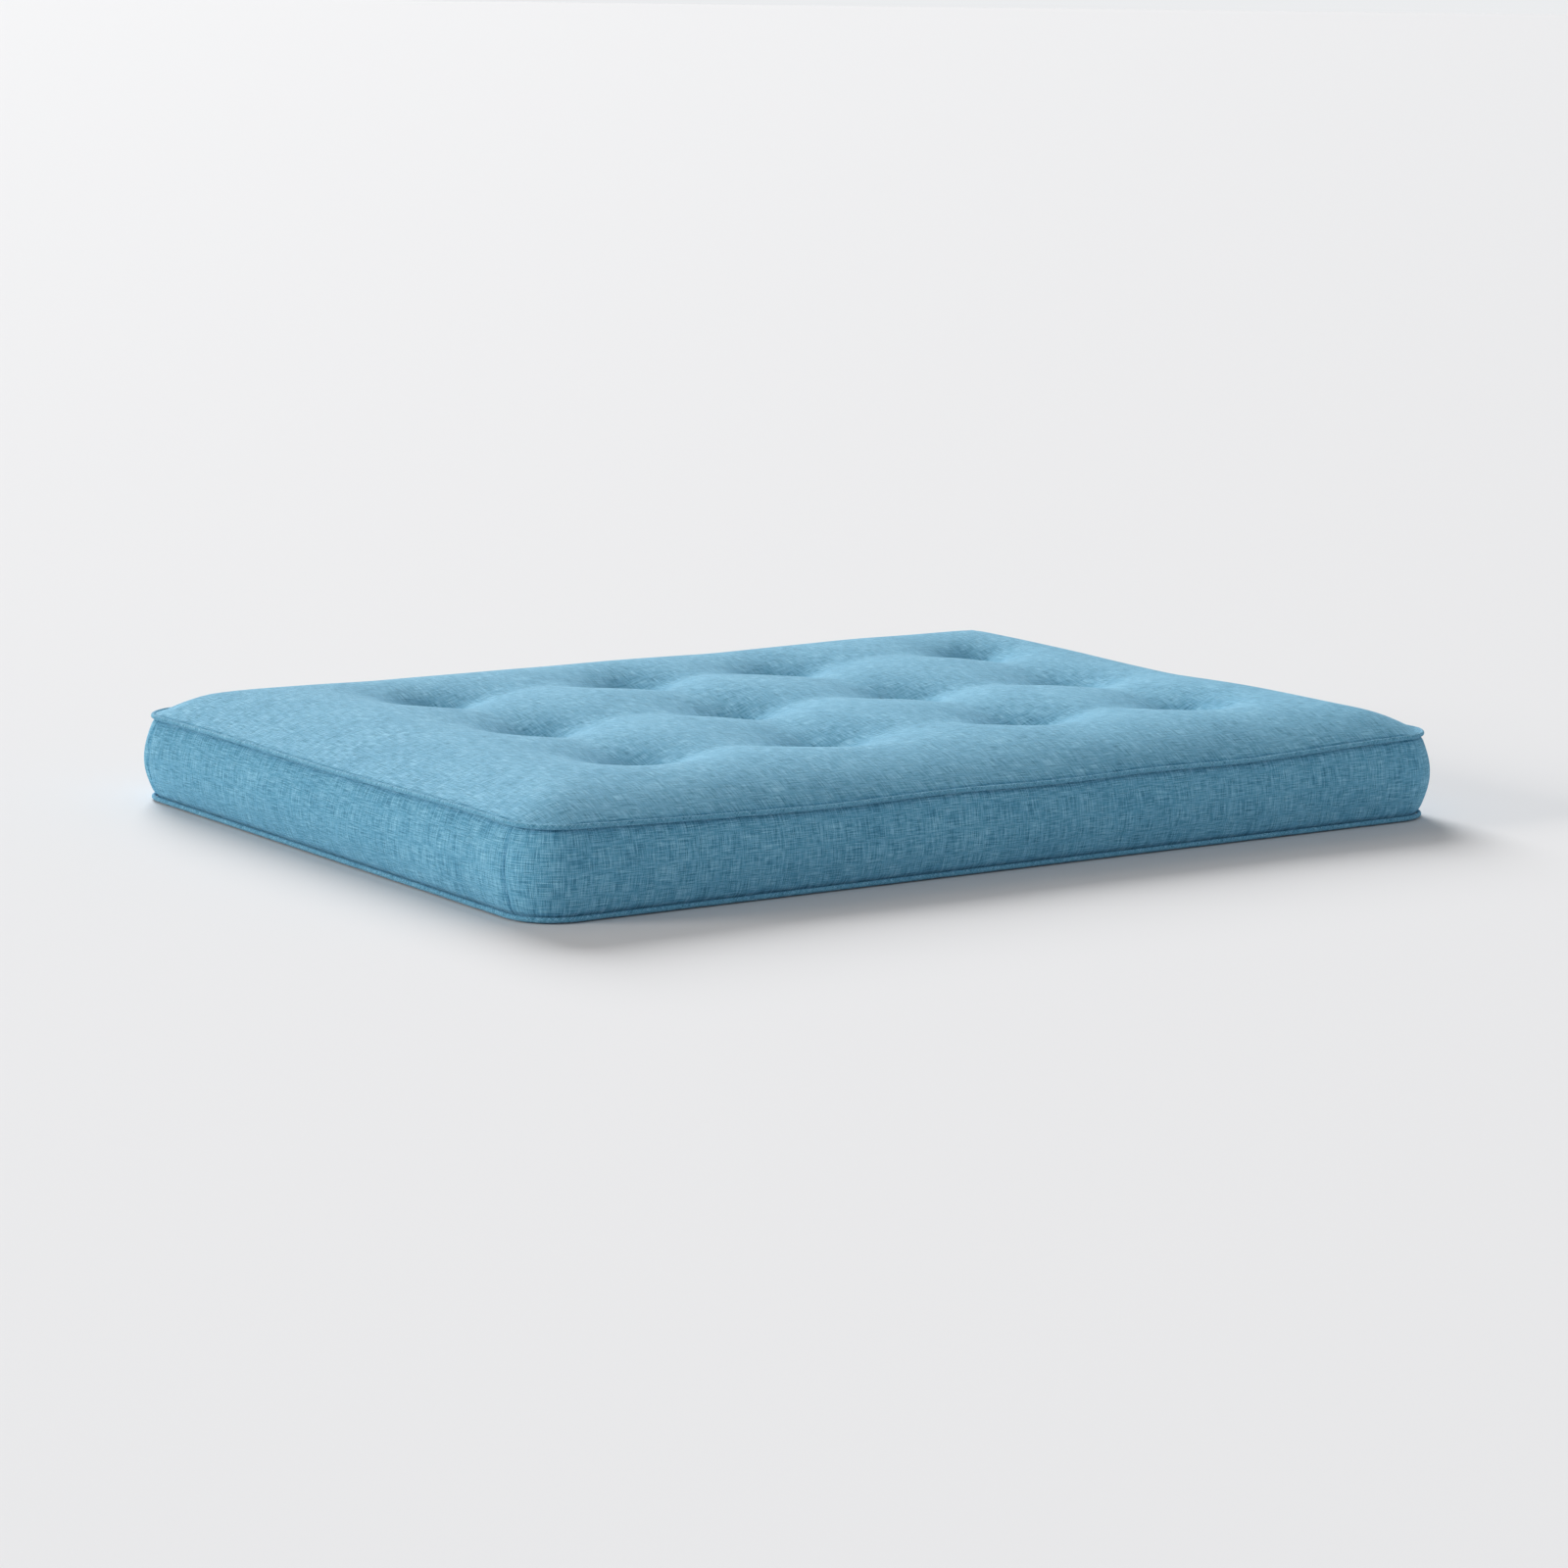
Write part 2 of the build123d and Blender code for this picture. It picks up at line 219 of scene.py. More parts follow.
def top_height(x, y):
    """The tufted top."""
    z = crown_height(x, y) - channels(x, y)
    for number, ((tx, ty), depth) in enumerate(zip(TUFTS, DEPTHS)):
        r = np.hypot(x - tx, y - ty)
        z = z - depth * pull(r) + gathers(x - tx, y - ty, 100 + number)
    return z


def under_height(x, y):
    """The underside: flat, lifting to the seam at the edge and into a cup at each tuft."""
    lift = UNDER_SEAM_Z * (1 - smoothstep(edge_distance(x, y, CORNER) / UNDER_EDGE))
    for tx, ty in TUFTS:
        lift = lift + CUP_DEPTH * np.exp(-np.hypot(x - tx, y - ty) / CUP_RADIUS)
    return lift


def graded(low, high, fine_at, coarse, fine, reach):
    """Grid lines from low to high, closer together near the places in fine_at."""
    dense = np.linspace(low, high, 4001)
    nearest = np.min(np.abs(dense[:, None] - np.asarray(fine_at)[None, :]), axis=1)
    step = fine + (coarse - fine) * smoothstep(nearest / reach)
    count = np.concatenate([[0], np.cumsum((1 / step)[:-1] * np.diff(dense))])
    lines = round(count[-1])
    return np.interp(np.linspace(0, count[-1], lines + 1), count, dense)


def plan_grid(inset, coarse, fine):
    """A grid over the rounded plan: its border is the outline, and it is finer at tufts and edges."""
    half_x, half_y, corner = SEAM_X - inset, SEAM_Y - inset, CORNER - inset
    xs = graded(-half_x, half_x, [*TUFTS[:, 0], -half_x, half_x], coarse, fine, 0.09)
    ys = graded(-half_y, half_y, [*TUFTS[:, 1], -half_y, half_y], coarse, fine, 0.09)
    x, y = np.meshgrid(xs, ys, indexing="ij")
    a = np.clip(np.abs(x) - (half_x - corner), 0, None) / corner
    b = np.clip(np.abs(y) - (half_y - corner), 0, None) / corner
    in_corner = (a > 0) & (b > 0)
    x_round = np.sign(x) * (half_x - corner + corner * a * np.sqrt(1 - b * b / 2))
    y_round = np.sign(y) * (half_y - corner + corner * b * np.sqrt(1 - a * a / 2))
    return np.where(in_corner, x_round, x), np.where(in_corner, y_round, y)


def perimeter(spacing):
    """Points, outward normals and lengths along the seam, anticlockwise from the front's middle."""
    flat_x, flat_y, arc = SEAM_X - CORNER, SEAM_Y - CORNER, CORNER * math.pi / 2
    legs = []
    position = np.array([0.0, -SEAM_Y])
    heading = 0.0
    for length, turn in [
        (flat_x, 0), (arc, 1), (2 * flat_y, 0), (arc, 1), (2 * flat_x, 0),
        (arc, 1), (2 * flat_y, 0), (arc, 1), (flat_x, 0),
    ]:
        steps = max(2, round(length / spacing))
        for step in range(steps):
            along = step / steps * length
            angle = heading + (along / CORNER if turn else 0)
            if turn:
                centre = position + CORNER * np.array([-math.sin(heading), math.cos(heading)])
                point = centre + CORNER * np.array([math.sin(angle), -math.cos(angle)])
            else:
                point = position + along * np.array([math.cos(heading), math.sin(heading)])
            legs.append((point, (math.sin(angle), -math.cos(angle))))
        if turn:
            centre = position + CORNER * np.array([-math.sin(heading), math.cos(heading)])
            heading += math.pi / 2
            position = centre + CORNER * np.array([math.sin(heading), -math.cos(heading)])
        else:
            position = position + length * np.array([math.cos(heading), math.sin(heading)])
    points = np.array([leg[0] for leg in legs])
    normals = np.array([leg[1] for leg in legs])
    gaps = np.linalg.norm(np.roll(points, -1, axis=0) - points, axis=1)
    return points, normals, np.concatenate([[0], np.cumsum(gaps)])


# ---------------------------------------------------------------- mesh building


def make_mesh(name, points, faces, uvs=None):
    """A smooth-shaded object of quads or triangles, with a weave map in metres along the cloth."""
    mesh = bpy.data.meshes.new(name)
    faces = faces if isinstance(faces, list) else faces.tolist()
    mesh.from_pydata(np.asarray(points).tolist(), [], faces)
    if uvs is not None:
        layer = mesh.uv_layers.new(name="weave")
        corner_points = np.empty(len(mesh.loops), dtype=np.int32)
        mesh.loops.foreach_get("vertex_index", corner_points)
        layer.data.foreach_set("uv", np.asarray(uvs, dtype=np.float32)[corner_points].ravel())
    mesh.polygons.foreach_set("use_smooth", np.ones(len(mesh.polygons), dtype=bool))
    mesh.update()
    piece = bpy.data.objects.new(name, mesh)
    bpy.context.scene.collection.objects.link(piece)
    return piece


def grid_faces(rows, columns, start=0, flip=False, wrap=False):
    """Quads of a grid of points stored row by row."""
    r = np.arange(rows - 1)[:, None]
    c = np.arange(columns if wrap else columns - 1)[None, :]
    after = (c + 1) % columns
    quads = np.stack(
        [r * columns + c, (r + 1) * columns + c, (r + 1) * columns + after, r * columns + after], axis=-1
    ).reshape(-1, 4) + start
    return quads[:, ::-1] if flip else quads


def border(rows, columns):
    """The indices round the edge of a grid of points."""
    top = [c for c in range(columns)]
    right = [r * columns + columns - 1 for r in range(1, rows)]
    bottom = [(rows - 1) * columns + c for c in range(columns - 2, -1, -1)]
    left = [r * columns for r in range(rows - 2, 0, -1)]
    return np.array(top + right + bottom + left)


def grid_normals(points):
    """Unit normals of a grid of points, on the side that X crossed with Y faces."""
    along_rows, along_columns = np.gradient(points, axis=0), np.gradient(points, axis=1)
    normal = np.cross(along_rows, along_columns)
    return normal / np.linalg.norm(normal, axis=-1, keepdims=True)


def shell(name, outer, inner, uv):
    """A closed thin piece between two grids of points, outer facing the way X crossed with Y does."""
    rows, columns = outer.shape[:2]
    count = rows * columns
    loop = border(rows, columns)
    after = np.roll(loop, -1)
    rim = np.stack([loop, after, after + count, loop + count], axis=-1)
    points = np.concatenate([outer.reshape(-1, 3), inner.reshape(-1, 3)])
    faces = np.concatenate([grid_faces(rows, columns), grid_faces(rows, columns, count, flip=True), rim])
    uvs = np.concatenate([uv.reshape(-1, 2), uv.reshape(-1, 2)])
    return make_mesh(name, points, faces, uvs)


def closed_tube_faces(rows, sides):
    """Quads of a tube whose last ring meets its first."""
    r, c = np.arange(rows)[:, None], np.arange(sides)[None, :]
    ahead, beside = (r + 1) % rows, (c + 1) % sides
    return np.stack(
        [r * sides + c, ahead * sides + c, ahead * sides + beside, r * sides + beside], axis=-1
    ).reshape(-1, 4)


def ring_frames(path):
    """Tangent, side and up vectors along a closed path that lies nearly level."""
    tangent = np.roll(path, -1, axis=0) - np.roll(path, 1, axis=0)
    tangent /= np.linalg.norm(tangent, axis=1, keepdims=True)
    side = np.cross(tangent, [0, 0, 1.0])
    side /= np.linalg.norm(side, axis=1, keepdims=True)
    return tangent, side, np.cross(side, tangent)


# ---------------------------------------------------------------- the cover


def cloth_swell(piece, pins, pressure, frames, cap):
    """Swells a cover panel by a short cloth simulation, held at its pins, and caps how far it moves."""
    group = piece.vertex_groups.new(name="pins")
    group.add([int(pin) for pin in pins], 1.0, "REPLACE")
    cloth = piece.modifiers.new("Swell", "CLOTH")
    settings = cloth.settings
    settings.quality = 5
    settings.mass = 0.4
    settings.tension_stiffness = settings.compression_stiffness = 12
    settings.shear_stiffness = 6
    settings.bending_stiffness = 1.5
    settings.use_pressure = True
    settings.uniform_pressure_force = pressure
    settings.vertex_group_mass = "pins"
    settings.effector_weights.gravity = 0
    cloth.point_cache.frame_end = frames
    start = np.empty(len(piece.data.vertices) * 3, dtype=np.float32)
    piece.data.vertices.foreach_get("co", start)
    for number in range(1, frames + 1):
        bpy.context.scene.frame_set(number)
    swollen = piece.evaluated_get(bpy.context.evaluated_depsgraph_get()).to_mesh()
    end = np.empty_like(start)
    swollen.vertices.foreach_get("co", end)
    move = (end - start).reshape(-1, 3)
    size = np.linalg.norm(move, axis=1, keepdims=True)
    move *= np.tanh(size / cap) * cap / np.maximum(size, 1e-9)
    return start.reshape(-1, 3) + move


def swollen_top(coarse, fine):
    """The grid of the top cloth's face, tufted by formula and then swollen as cloth."""
    x, y = plan_grid(WELT_RADIUS * 0.3, coarse, fine)
    points = np.stack([x, y, top_height(x, y)], axis=-1)
    rows, columns = x.shape
    draft = make_mesh("swell_draft", points.reshape(-1, 3), grid_faces(rows, columns))
    near = np.min(np.hypot(x[..., None] - TUFTS[:, 0], y[..., None] - TUFTS[:, 1]), axis=-1)
    held = np.union1d(border(rows, columns), np.flatnonzero(near.ravel() < HELD_RADIUS))
    points = cloth_swell(draft, held, pressure=4.0, frames=20, cap=0.02).reshape(rows, columns, 3)
    bpy.data.objects.remove(draft)
    return points


def build_top_panel(material):
    points = swollen_top(0.012, 0.006)
    inner = points - CLOTH * grid_normals(points)
    panel = shell("top_panel", points, inner, points[..., :2])
    panel.data.materials.append(material)
    return panel, points


def build_bottom_panel(material):
    x, y = plan_grid(WELT_RADIUS * 0.8, 0.02, 0.008)
    z = under_height(x, y)
    outer = np.stack([x, y, z], axis=-1)
    inner = outer + CLOTH * grid_normals(outer)
    panel = shell("bottom_panel", outer[:, ::-1], inner[:, ::-1], np.stack([x, y], axis=-1)[:, ::-1])
    panel.data.materials.append(material)
    return panel


def boxing_points(points, normals, lengths, inset, seam_pull):
    """The side band between the welts, as a grid along the outline and up the bulge."""
    heights = (0.5 - 0.5 * np.cos(np.linspace(0, math.pi, 31)))[None, :]
    x, y = points[:, 0:1], points[:, 1:2]
    low = UNDER_SEAM_Z + WELT_RADIUS * 0.4
    high = TOP_SEAM_Z + seam_lift(x, y) - WELT_RADIUS * 0.4
    z = low + heights * (high - low)
    ends = 1 + END_BULGE * np.abs(normals[:, 0:1])
    ripple = RIPPLE * soft_noise(lengths[:, None], heights * 0.3, 0.35, 21)
    bulge = (BULGE - 0.001) * ends * np.sin(math.pi * heights) + ripple * np.sin(math.pi * heights)
    from_edge = np.minimum(z - low, high - z)
    tuck = TUCK * np.exp(-((from_edge / TUCK_WIDTH) ** 2))
    pucker = PUCKER * np.sin(math.tau * lengths[:, None] / PUCKER_PITCH) * np.exp(-from_edge / 0.012)
    out = bulge + pucker - tuck - inset - seam_pull[:, None] * np.sin(math.pi * heights) ** 0.5
    grid = np.stack(
        [x + out * normals[:, 0:1], y + out * normals[:, 1:2], np.broadcast_to(z, out.shape)], axis=-1
    )
    uv = np.stack([np.broadcast_to(lengths[:, None], out.shape), np.broadcast_to(z, out.shape)], axis=-1)
    return grid, uv


def build_boxing(material):
    """Four strips, joined by an upright seam at each corner, where their edges turn in."""
    points, normals, lengths = perimeter(STRIP_STEP)
    long_turn = math.radians(LONG_STRIP_TURN)
    arc = CORNER * math.pi / 2
    front_end = SEAM_X - CORNER + CORNER * long_turn
    right_end = SEAM_X - CORNER + arc + 2 * (SEAM_Y - CORNER) + arc - CORNER * long_turn
    total = lengths[-1]
    seams = [front_end, right_end, total - right_end, total - front_end]
    strips = {
        "boxing_front": (seams[3] - total, seams[0]),
        "boxing_right": (seams[0], seams[1]),
        "boxing_back": (seams[1], seams[2]),
        "boxing_left": (seams[2], seams[3]),
    }
    made = {}
    for name, (start, end) in strips.items():
        steps = round((end - start) / STRIP_STEP)
        inside = np.linspace(start, end, steps + 1)
        edge = np.array([0.0, 0.0012, 0.0028])
        along = np.concatenate([start + edge, inside[1:-1], end - edge[::-1]])
        wrapped = np.mod(along, total)
        ring = np.concatenate([points, points[:1]])
        turn = np.concatenate([normals, normals[:1]])
        place = np.stack([np.interp(wrapped, lengths, ring[:, k]) for k in (0, 1)], axis=-1)
        facing = np.stack([np.interp(wrapped, lengths, turn[:, k]) for k in (0, 1)], axis=-1)
        facing /= np.linalg.norm(facing, axis=1, keepdims=True)
        from_seam = np.minimum(along - start, end - along)
        seam_pull = SEAM_TUCK * np.exp(-((from_seam / SEAM_TUCK_WIDTH) ** 2))
        seam_pull = seam_pull + 0.002 * np.exp(-((from_seam / 0.02) ** 2))
        outer, uv = boxing_points(place, facing, along, 0, seam_pull)
        inner, _ = boxing_points(place, facing, along, CLOTH, seam_pull)
        made[name] = shell(f"{name}_strip", outer, inner, uv)
        made[name].data.materials.append(material)
    return made


def build_welt(name, height, lifted, material):
    """A welt's sleeve: a hollow ring of cloth, cut on the bias, a little uneven along its run."""
    points, normals, lengths = perimeter(0.005)
    z = height + (seam_lift(points[:, 0], points[:, 1]) if lifted else 0.0)
    points = points + WELT_OUT * normals
    path = np.stack([points[:, 0], points[:, 1], np.broadcast_to(z, len(points))], axis=-1)
    _, side, up = ring_frames(path)
    sides = 18
    around = np.linspace(0, math.tau, sides, endpoint=False)
    surfaces, maps = [], []
    for radius in (WELT_RADIUS, WELT_RADIUS - CLOTH * 0.7):
        uneven = radius * (1 + 0.05 * soft_noise(lengths[:-1], 0 * lengths[:-1], 0.06, 31))[:, None, None]
        ring = path[:, None] + uneven * (
            np.cos(around)[None, :, None] * side[:, None] + np.sin(around)[None, :, None] * up[:, None]
        )
        surfaces.append(ring.reshape(-1, 3))
        s, t = np.meshgrid(lengths[:-1], around * WELT_RADIUS, indexing="ij")
        maps.append(np.stack([(s + t) * math.sqrt(0.5), (s - t) * math.sqrt(0.5)], axis=-1).reshape(-1, 2))
    quads = closed_tube_faces(len(path), sides)
    faces = np.concatenate([quads, quads[:, ::-1] + len(path) * sides])
    welt = make_mesh(name, np.concatenate(surfaces), faces, np.concatenate(maps))
    welt.data.materials.append(material)
    return welt


# ---------------------------------------------------------------- the filling


def boxing_bulge(z, seam_z):
    """How far the boxing stands out past the seams at a height."""
    share = np.clip((z - UNDER_SEAM_Z) / (seam_z - UNDER_SEAM_Z), 0, 1)
    return (BULGE - 0.001) * np.sin(math.pi * share)


def layer(name, x, y, upper_z, lower_z, side_rows, gap):
    """A padded layer between two height grids, whose sides follow the boxing from a gap inside it."""
    rows, columns = x.shape
    loop = border(rows, columns)
    after = np.roll(np.arange(len(loop)), -1)
    edge = np.stack([x.ravel()[loop], y.ravel()[loop]], axis=-1)
    centre = np.clip(edge, [-(SEAM_X - CORNER), -(SEAM_Y - CORNER)], [SEAM_X - CORNER, SEAM_Y - CORNER])
    out = edge - centre
    out /= np.maximum(np.linalg.norm(out, axis=1, keepdims=True), 1e-9)
    shares = np.linspace(0, 1, side_rows + 2)[1:-1]
    top, base = upper_z.ravel()[loop], lower_z.ravel()[loop]
    rings = []
    for share in shares:
        z = top + share * (base - top)
        reach = np.maximum(boxing_bulge(z, TOP_SEAM_Z) - gap, 0)[:, None]
        rings.append(np.column_stack([edge + reach * out, z]))
    count, around = rows * columns, len(loop)
    points = np.concatenate(
        [
            np.stack([x, y, upper_z], axis=-1).reshape(-1, 3),
            np.stack([x, y, lower_z], axis=-1).reshape(-1, 3),
            *rings,
        ]
    )
    levels = [loop, *[2 * count + k * around + np.arange(around) for k in range(len(rings))], loop + count]
    walls = [
        np.stack([up, up[after], down[after], down], axis=-1) for up, down in zip(levels, levels[1:])
    ]
    faces = np.concatenate([grid_faces(rows, columns), grid_faces(rows, columns, count, flip=True), *walls])
    return make_mesh(name, points, faces, points[:, :2])


def build_filling(top_points, batting, foam):
    """The upper batting, the foam core and the lower batting, one inside the other's hollows."""
    skip = (slice(None, None, 3), slice(None, None, 3))
    under_cloth = (top_points - LAYER_GAP * grid_normals(top_points))[skip]
    shrink = 1 - LAYER_GAP / SEAM_Y
    x, y = under_cloth[..., 0] * shrink, under_cloth[..., 1] * shrink
    pressed = sum(np.exp(-np.hypot(x - tx, y - ty) / 0.04) for tx, ty in TUFTS)
    pits = sum(np.exp(-((np.hypot(x - tx, y - ty) / 0.032) ** 2)) for tx, ty in TUFTS)
    under_cloth[..., 2] -= PIT_SLACK * pits
    foam_top = FOAM_TOP_Z - 0.03 * pressed
    foam_top = np.minimum(foam_top, under_cloth[..., 2] - LAYER_GAP)
    lower_z = np.maximum(under_height(x, y), 0) + SIDE_GAP
    made = {
        "upper_batting": layer("upper_batting_pad", x, y, under_cloth[..., 2], foam_top, 0, LAYER_GAP),
        "foam_core": layer(
            "foam_core_slab", x, y, foam_top - SEPARATION, np.full_like(x, FOAM_UNDER_Z), 8, SIDE_GAP
        ),
        "lower_batting": layer(
            "lower_batting_pad", x, y, np.full_like(x, FOAM_UNDER_Z - SEPARATION), lower_z, 3, SIDE_GAP
        ),
    }
    for name, piece in made.items():
        piece.data.materials.append(foam if name == "foam_core" else batting)
    return made


def build_welt_cord(name, height, lifted, material):
    """The cord inside a welt: three soft strands twisted together."""
    points, normals, lengths = perimeter(0.008)
    z = height + (seam_lift(points[:, 0], points[:, 1]) if lifted else 0.0)
    points = points + WELT_OUT * normals
    path = np.stack([points[:, 0], points[:, 1], np.broadcast_to(z, len(points))], axis=-1)
    _, side, up = ring_frames(path)
    around = np.linspace(0, math.tau, 12, endpoint=False)[None, :]
    turns = round(lengths[-1] / CORD_PITCH)
    twist = math.tau * turns * lengths[:-1, None] / lengths[-1] / 3
    radius = CORD_RADIUS * (0.86 + 0.14 * np.abs(np.cos(1.5 * (around - twist))))
    ring = path[:, None] + radius[..., None] * (
        np.cos(around)[..., None] * side[:, None] + np.sin(around)[..., None] * up[:, None]
    )
    rows = len(path)
    faces = closed_tube_faces(rows, 12)
    cord = make_mesh(name, ring.reshape(-1, 3), faces, np.zeros((rows * 12, 2)))
    cord.data.materials.append(material)
    return cord


# ---------------------------------------------------------------- ties and tag


def strand(path, radius, sides=8):
    """Points and faces of a round strand along an open path, closed at both ends."""
    tangent = np.gradient(path, axis=0)
    tangent /= np.linalg.norm(tangent, axis=1, keepdims=True)
    side = np.cross(tangent, [0, 1.0, 0.0])
    short = np.linalg.norm(side, axis=1) < 0.2
    side[short] = np.cross(tangent[short], [1.0, 0, 0.0])
    side /= np.linalg.norm(side, axis=1, keepdims=True)
    for k in range(1, len(side)):
        side[k] = side[k - 1] - tangent[k] * np.dot(side[k - 1], tangent[k])
        side[k] /= np.linalg.norm(side[k])
    up = np.cross(side, tangent)
    around = np.linspace(0, math.tau, sides, endpoint=False)
    rings = path[:, None] + radius * (
        np.cos(around)[None, :, None] * side[:, None] + np.sin(around)[None, :, None] * up[:, None]
    )
    points = np.concatenate([rings.reshape(-1, 3), path[:1], path[-1:]])
    c = np.arange(sides)
    after, last, tip = (c + 1) % sides, (len(path) - 1) * sides, len(path) * sides
    quads = grid_faces(len(path), sides, wrap=True)
    ends = [
        np.stack([c, after, np.full(sides, tip)], axis=-1),
        np.stack([last + after, last + c, np.full(sides, tip + 1)], axis=-1),
    ]
    return points, [*quads.tolist(), *ends[0].tolist(), *ends[1].tolist()]


def rounded_loop(width, low, high, radius, spacing):
    """An upright loop, up one leg, over the stitch and down the other, as evenly spaced points in X and Z."""
    half = width / 2
    turn = np.linspace(0, math.pi / 2, 7)
    left = np.stack([-half + radius - radius * np.cos(turn), high - radius + radius * np.sin(turn)], axis=-1)
    corners = np.concatenate([[(-half, low)], left, left[::-1] * [-1, 1], [(half, low)]])
    gaps = np.concatenate([[0], np.cumsum(np.linalg.norm(np.diff(corners, axis=0), axis=1))])
    even = np.linspace(0, gaps[-1], round(gaps[-1] / spacing))
    return np.stack([np.interp(even, gaps, corners[:, k]) for k in (0, 1)], axis=-1)


def twisted(path, offset, pitch, phase):
    """A path that winds round another one, as a strand of twine does."""
    along = np.concatenate([[0], np.cumsum(np.linalg.norm(np.diff(path, axis=0), axis=1))])
    tangent = np.gradient(path, axis=0)
    tangent /= np.linalg.norm(tangent, axis=1, keepdims=True)
    across = np.array([0, 1.0, 0])
    normal = np.cross(tangent, across)
    angle = (math.tau * along / pitch + phase)[:, None]
    return path + offset * (np.cos(angle) * normal + np.sin(angle) * across)


def tie_strands():
    """One tufting tie about its own middle: a loop of two-ply twine and the knot that closes it below."""
    loop = rounded_loop(STITCH, KNOT_Z, TUFT_TOP_Z + TWINE_RADIUS, 2 * TWINE_RADIUS, 0.0012)
    path = np.stack([loop[:, 0], np.zeros(len(loop)), loop[:, 1]], axis=-1)
    made = [strand(twisted(path, 0.00072, 0.008, phase), 0.00078, 6) for phase in (0, math.pi)]
    turn = np.linspace(0, KNOT_TURNS * math.tau, 120)
    x = np.linspace(-KNOT_HALF_LENGTH, KNOT_HALF_LENGTH, len(turn))
    knot = np.stack([x, KNOT_RADIUS * np.cos(turn), KNOT_Z + KNOT_RADIUS * np.sin(turn)], axis=-1)
    made.append(strand(knot, 0.00105, 8))
    for side in (-1, 1):
        t = np.linspace(0, 1, 14)
        x, y = side * (0.003 + 0.003 * t), side * (0.001 + 0.013 * t)
        z = KNOT_Z - 0.002 - 0.009 * np.sin(1.5 * t)
        made.append(strand(np.stack([x, y, z], axis=-1), 0.0009, 6))
    return made


def build_ties(half, material):
    """The ties of one row of tufts."""
    points, faces, count = [], [], 0
    for tuft_x, tuft_y in ROWS[half]:
        for strand_points, own_faces in tie_strands():
            points.append(strand_points + [tuft_x, tuft_y, 0])
            faces += [[corner + count for corner in face] for face in own_faces]
            count += len(strand_points)
    ties = make_mesh(f"twine_ties_{half}", np.concatenate(points), faces)
    ties.data.materials.append(material)
    return ties


def build_law_tag(material):
    """A blank cloth label with a folded hem, sewn low on the back boxing."""
    low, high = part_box("law_tag")
    u, v = np.meshgrid(np.linspace(0, 1, 41), np.linspace(0, 1, 17), indexing="ij")
    x = low.x + u * (high.x - low.x)
    z = low.z + v * (high.z - low.z)
    base = SEAM_Y + boxing_bulge(z, TOP_SEAM_Z)
    curl = 0.0009 * np.sin(3.1 * math.pi * u) * (1 - v) + 0.0006 * np.sin(2 * math.pi * u + 1)
    y = base + 0.0012 + curl * (0.3 + (1 - v))
    outer = np.stack([x, y, z], axis=-1)[::-1]
    from_rim = np.minimum(np.minimum(u, 1 - u) * 3, np.minimum(v, 1 - v))
    hem = 0.0005 + 0.0005 * smoothstep((0.12 - from_rim) / 0.02)
    inner = outer - np.stack([0 * x, hem[::-1], 0 * x], axis=-1)
    tag = shell("blank_law_label", outer, inner, np.stack([x, z], axis=-1))
    tag.data.materials.append(material)
    return tag


# ---------------------------------------------------------------- looks


class Look:
    """A material, with a short way to add nodes to it. Inputs that are sockets get linked."""

    def __init__(self, name, **settings):
        self.material = bpy.data.materials.new(name)
        self.material.use_nodes = True
        self.tree = self.material.node_tree
        self.shader = self.tree.nodes["Principled BSDF"]
        for socket, value in settings.items():
            self.shader.inputs[socket.replace("_", " ")].default_value = value

    def node(self, kind, inputs, **settings):
        made = self.tree.nodes.new(kind)
        for key, value in settings.items():
            setattr(made, key, value)
        for socket, value in inputs.items():
            if isinstance(value, bpy.types.NodeSocket):
                self.tree.links.new(value, made.inputs[socket])
            else:
                made.inputs[socket].default_value = value
        return made

    def math(self, operation, a, b=0.0):
        return self.node("ShaderNodeMath", {0: a, 1: b}, operation=operation).outputs[0]

    def noise(self, vector, scale, detail=2.0, roughness=0.5):
        """Noise of a vector stretched by a scale for each axis, from about 0.3 to 0.7."""
        place = self.node("ShaderNodeMapping", {"Vector": vector, "Scale": scale}).outputs[0]
        inputs = {"Vector": place, "Scale": 1.0, "Detail": detail, "Roughness": roughness}
        return self.node("ShaderNodeTexNoise", inputs).outputs["Fac"]

    def span(self, value, low, high, to_low=0.0, to_high=1.0):
        inputs = {"Value": value, "From Min": low, "From Max": high, "To Min": to_low, "To Max": to_high}
        return self.node("ShaderNodeMapRange", inputs).outputs["Result"]

    def ramp(self, value, stops):
        """A colour for each stop of a value, smoothly blended."""
        made = self.node("ShaderNodeValToRGB", {"Fac": value})
        elements = made.color_ramp.elements
        while len(elements) < len(stops):
            elements.new(0.5)
        for element, (position, colour) in zip(elements, stops):
            element.position = position
            element.color = (*colour, 1)
        return made.outputs["Color"]

    def finish(self, colour, height, bump, strength=1.0, roughness=None):
        """Links the colour and a bump of a height in metres, and gives the finished material."""
        self.tree.links.new(colour, self.shader.inputs["Base Color"])
        inputs = {"Height": height, "Distance": bump, "Strength": strength}
        normal = self.node("ShaderNodeBump", inputs).outputs["Normal"]
        self.tree.links.new(normal, self.shader.inputs["Normal"])
        if roughness is not None:
            self.tree.links.new(roughness, self.shader.inputs["Roughness"])
        return self.material


